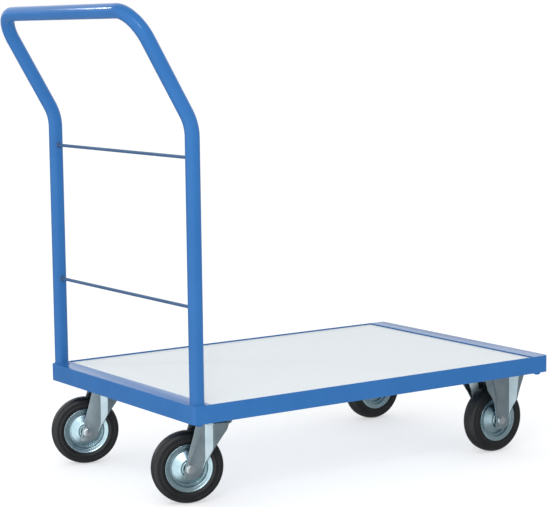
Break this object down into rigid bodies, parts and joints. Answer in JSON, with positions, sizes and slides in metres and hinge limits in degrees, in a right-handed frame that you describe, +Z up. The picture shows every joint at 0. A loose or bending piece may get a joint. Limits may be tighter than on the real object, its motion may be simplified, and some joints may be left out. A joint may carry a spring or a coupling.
{
  "type": "platform truck",
  "caption": "Flatbed platform truck with a bent round-tube push handle, thin cross rods, a laminate deck in a steel angle frame, swivel casters at the handle end and fixed casters in front.",
  "frame": {"origin": "on the floor, below the middle of the overall box, handle included", "axes": "+X along the deck, away from the push handle; +Y to the left of a person who pushes; +Z up, out of the deck"},
  "size_m": [1.1326, 0.65, 1.078],
  "materials": {
    "blue_powder_coat": "semi-gloss powder coat",
    "rod_paint": "semi-gloss powder coat",
    "laminate_board": "light grey laminate, satin",
    "rubber_tyre": "matt black rubber",
    "zinc_plate": "bright zinc plate",
    "bright_zinc": "bright zinc plate",
    "bearing_steel": "ground"
  },
  "bodies": {
    "chassis": {"rear_rail": "blue_powder_coat", "front_rail": "blue_powder_coat", "left_side_rail": "blue_powder_coat", "right_side_rail": "blue_powder_coat", "rear_bearer": "blue_powder_coat", "rear_inner_bearer": "blue_powder_coat", "middle_bearer": "blue_powder_coat", "front_inner_bearer": "blue_powder_coat", "front_bearer": "blue_powder_coat", "deck_board": "laminate_board", "deck_screws": "bright_zinc", "corner_screws": "blue_powder_coat", "caster_pads": "blue_powder_coat", "caster_bolts": "bright_zinc", "caster_nuts": "bright_zinc", "push_handle": "blue_powder_coat", "upper_cross_rod": "rod_paint", "lower_cross_rod": "rod_paint", "handle_foot_welds": "blue_powder_coat", "rod_end_welds": "rod_paint", "rear_left_caster_plate": "zinc_plate", "rear_left_kingpin": "bright_zinc", "rear_right_caster_plate": "zinc_plate", "rear_right_kingpin": "bright_zinc", "front_left_bracket": "zinc_plate", "front_left_axle_bolt": "bright_zinc", "front_left_axle_nut": "bright_zinc", "front_left_axle_sleeve": "bright_zinc", "front_right_bracket": "zinc_plate", "front_right_axle_bolt": "bright_zinc", "front_right_axle_nut": "bright_zinc", "front_right_axle_sleeve": "bright_zinc"},
    "rear_left_swivel_fork": {"rear_left_fork": "zinc_plate", "rear_left_swivel_balls": "bearing_steel", "rear_left_axle_bolt": "bright_zinc", "rear_left_axle_nut": "bright_zinc", "rear_left_axle_sleeve": "bright_zinc"},
    "rear_right_swivel_fork": {"rear_right_fork": "zinc_plate", "rear_right_swivel_balls": "bearing_steel", "rear_right_axle_bolt": "bright_zinc", "rear_right_axle_nut": "bright_zinc", "rear_right_axle_sleeve": "bright_zinc"},
    "rear_left_wheel": {"rear_left_tyre": "rubber_tyre", "rear_left_rim": "zinc_plate", "rear_left_hub": "zinc_plate", "rear_left_bearing_rollers": "bearing_steel"},
    "rear_right_wheel": {"rear_right_tyre": "rubber_tyre", "rear_right_rim": "zinc_plate", "rear_right_hub": "zinc_plate", "rear_right_bearing_rollers": "bearing_steel"},
    "front_left_wheel": {"front_left_tyre": "rubber_tyre", "front_left_rim": "zinc_plate", "front_left_hub": "zinc_plate", "front_left_bearing_rollers": "bearing_steel"},
    "front_right_wheel": {"front_right_tyre": "rubber_tyre", "front_right_rim": "zinc_plate", "front_right_hub": "zinc_plate", "front_right_bearing_rollers": "bearing_steel"}
  },
  "joints": [
    {"name": "rear_left_swivel", "type": "hinge", "parent": "chassis", "child": "rear_left_swivel_fork", "pos_m": [-0.33666, 0.232, 0.185], "axis": [0, 0, 1], "continuous": true},
    {"name": "rear_right_swivel", "type": "hinge", "parent": "chassis", "child": "rear_right_swivel_fork", "pos_m": [-0.33666, -0.232, 0.185], "axis": [0, 0, 1], "continuous": true},
    {"name": "rear_left_wheel_spin", "type": "hinge", "parent": "rear_left_swivel_fork", "child": "rear_left_wheel", "pos_m": [-0.38677, 0.24926, 0.08], "axis": [0.3256, 0.9455, 0], "continuous": true},
    {"name": "rear_right_wheel_spin", "type": "hinge", "parent": "rear_right_swivel_fork", "child": "rear_right_wheel", "pos_m": [-0.38707, -0.21562, 0.08], "axis": [0.309, 0.9511, 0], "continuous": true},
    {"name": "front_left_wheel_spin", "type": "hinge", "parent": "chassis", "child": "front_left_wheel", "pos_m": [0.46334, 0.24, 0.08], "axis": [0, 1, 0], "continuous": true},
    {"name": "front_right_wheel_spin", "type": "hinge", "parent": "chassis", "child": "front_right_wheel", "pos_m": [0.46334, -0.24, 0.08], "axis": [0, 1, 0], "continuous": true}
  ]
}
